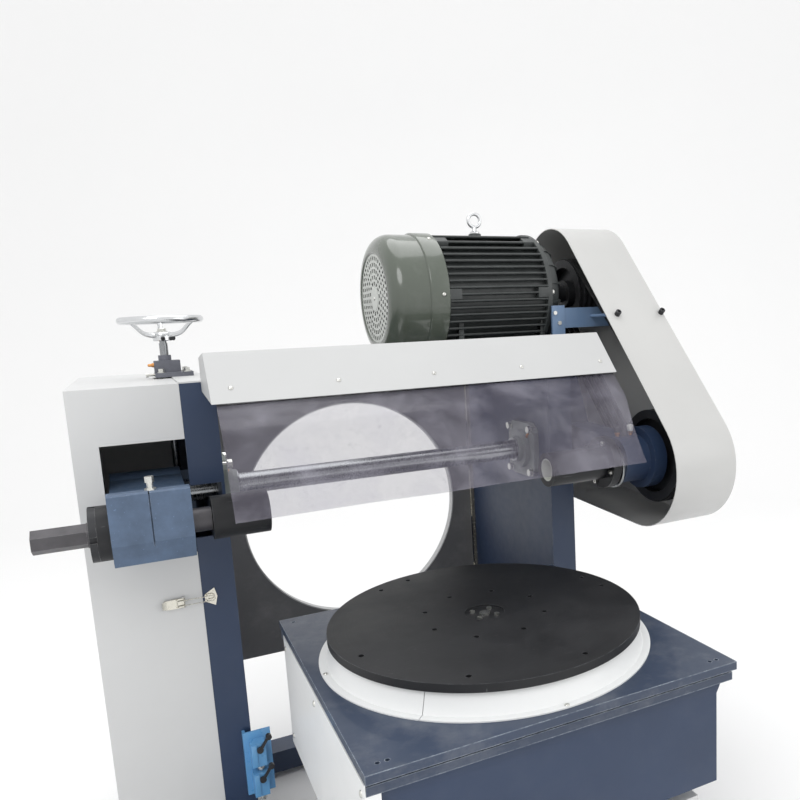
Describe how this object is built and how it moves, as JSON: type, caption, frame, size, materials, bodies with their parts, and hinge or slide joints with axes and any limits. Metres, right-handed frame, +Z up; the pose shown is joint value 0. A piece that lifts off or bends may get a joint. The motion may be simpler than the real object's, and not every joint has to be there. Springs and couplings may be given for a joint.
{
  "type": "rotary table polishing machine",
  "caption": "Rotary-table polishing machine: turntable on a box table, and a belt-driven wheel head that swings on a cross shaft under a hood with a clear shield.",
  "frame": {"origin": "on the floor, under the turntable's axis", "axes": "+X along the wheel spindle towards the belt guard, +Y to the back, +Z up"},
  "size_m": [1.926, 1.643, 2.029],
  "materials": {
    "blue_paint": "satin enamel, chipped at plate edges",
    "light_paint": "smooth satin powder coat",
    "skirt_paint": "satin powder coat",
    "bracket_blue": "satin enamel",
    "switch_blue": "gloss enamel",
    "bearing_iron": "painted casting",
    "zinc": "zinc plated",
    "black_oxide": "black oxide, satin",
    "steel": "ground steel",
    "motor_green": "painted casting",
    "cover_olive": "gloss enamel",
    "chrome": "polished",
    "nickel": "nickel plated",
    "brass": "plain",
    "black_plastic": "moulded",
    "belt_rubber": "matt",
    "panel_grey": "satin",
    "clear_pvc": "smoky transparent sheet with fine scratches"
  },
  "bodies": {
    "root": {"base_frame": "blue_paint", "left_post": "blue_paint", "right_column": "blue_paint", "post_cap": "light_paint", "hood": "light_paint", "hood_screws": "zinc", "left_flange_bearing": "bearing_iron", "right_flange_bearing": "bearing_iron", "frame_bolts": "zinc", "screw_bracket": "black_oxide", "pedestal": "light_paint", "table_rails": "steel", "limit_switches": "switch_blue", "latch_strike": "nickel", "door_hinge": "nickel"},
    "table": {"table_top_plate": "blue_paint", "table_lower_plate": "blue_paint", "table_body": "blue_paint", "side_panel": "light_paint", "table_screws": "zinc", "skirt_left": "skirt_paint", "skirt_right": "skirt_paint", "bearing_housing": "bearing_iron", "gear_reducer": "motor_green", "table_motor": "motor_green", "rail_carriages": "steel"},
    "turntable": {"turntable_disc": "black_oxide", "turntable_shaft": "steel", "turntable_bolts": "zinc"},
    "head": {"cross_shaft": "steel", "left_arm": "blue_paint", "head_bolts": "zinc", "quill_collar": "black_oxide", "right_arm": "blue_paint", "spindle_end_plate": "zinc", "oil_cups": "brass", "motor_platform": "blue_paint", "motor_frame": "motor_green", "fan_cover": "cover_olive", "eyebolt": "chrome", "guard_shell": "light_paint", "guard_bracket": "bracket_blue", "guard_knobs": "black_plastic", "drive_belts": "belt_rubber"},
    "spindle": {"spindle_shaft": "black_oxide", "spindle_pulley": "black_oxide", "spindle_bolts": "zinc"},
    "rotor": {"motor_pulley": "black_oxide"},
    "quill": {"quill_bar": "black_oxide"},
    "tail_chuck": {"tail_chuck": "black_oxide"},
    "locknut": {"quill_locknut": "black_oxide"},
    "handwheel": {"handwheel": "chrome", "lead_screw": "steel"},
    "cover": {"left_cover": "light_paint"},
    "latch_lever": {"latch_lever": "nickel"},
    "latch_bail": {"latch_bail": "nickel"},
    "rear_door": {"rear_door": "panel_grey"},
    "shield": {"shield": "clear_pvc"},
    "upper_switch_lever": {"upper_switch_lever": "black_plastic"},
    "lower_switch_lever": {"lower_switch_lever": "black_plastic"}
  },
  "joints": [
    {"name": "table_traverse", "type": "slide", "parent": "root", "child": "table", "axis": [1, 0, 0], "range_m": [-0.04, 0.04]},
    {"name": "turntable_spin", "type": "hinge", "parent": "table", "child": "turntable", "pos_m": [0, 0, 0.9], "axis": [0, 0, 1], "continuous": true},
    {"name": "head_swing", "type": "hinge", "parent": "root", "child": "head", "pos_m": [0, 0.6165, 1.2023], "axis": [1, 0, 0], "range_deg": [-5, 10]},
    {"name": "spindle_spin", "type": "hinge", "parent": "head", "child": "spindle", "pos_m": [0, 0.2765, 1.1884], "axis": [1, 0, 0], "continuous": true},
    {"name": "motor_spin", "type": "hinge", "parent": "head", "child": "rotor", "pos_m": [0, 0.8144, 1.737], "axis": [1, 0, 0], "continuous": true},
    {"name": "quill_slide", "type": "slide", "parent": "head", "child": "quill", "axis": [1, 0, 0], "range_m": [-0.04, 0.16]},
    {"name": "tail_chuck_spin", "type": "hinge", "parent": "quill", "child": "tail_chuck", "pos_m": [0, 0.2765, 1.1884], "axis": [1, 0, 0], "continuous": true},
    {"name": "locknut_turn", "type": "hinge", "parent": "head", "child": "locknut", "pos_m": [0, 0.2765, 1.1884], "axis": [1, 0, 0], "continuous": true},
    {"name": "handwheel_turn", "type": "hinge", "parent": "root", "child": "handwheel", "pos_m": [-0.652, 0.8144, 1.691], "axis": [0, 0, 1], "range_deg": [-2100, 1100]},
    {"name": "cover_pull_off", "type": "slide", "parent": "root", "child": "cover", "axis": [-1, 0, 0], "range_m": [0, 0.3]},
    {"name": "latch_lever_open", "type": "hinge", "parent": "cover", "child": "latch_lever", "pos_m": [-0.69, 0.4415, 0.93], "axis": [0, 0, 1], "range_deg": [0, 120]},
    {"name": "latch_bail_swing", "type": "hinge", "parent": "latch_lever", "child": "latch_bail", "pos_m": [-0.706, 0.43575, 0.93], "axis": [0, 0, 1], "range_deg": [-120, 0]},
    {"name": "rear_door_swing", "type": "hinge", "parent": "root", "child": "rear_door", "pos_m": [0.458, 1.146, 0.965], "axis": [0, 0, 1], "range_deg": [-80, 0]},
    {"name": "shield_lift", "type": "hinge", "parent": "root", "child": "shield", "pos_m": [0, 0.2165, 1.472], "axis": [-1, 0, 0], "range_deg": [0, 65]},
    {"name": "upper_switch_press", "type": "hinge", "parent": "root", "child": "upper_switch_lever", "pos_m": [-0.541, 0.395, 0.48], "axis": [0, -1, 0], "range_deg": [0, 25], "stiffness_Nm_per_rad": 0.3},
    {"name": "lower_switch_press", "type": "hinge", "parent": "root", "child": "lower_switch_lever", "pos_m": [-0.541, 0.395, 0.39], "axis": [0, -1, 0], "range_deg": [0, 25], "stiffness_Nm_per_rad": 0.3}
  ],
  "couplings": [
    {"joint": "motor_spin", "follows": "spindle_spin", "ratio": 1.2},
    {"joint": "handwheel_turn", "follows": "head_swing", "ratio": -207.24},
    {"joint": "latch_bail_swing", "follows": "latch_lever_open", "ratio": -1}
  ]
}
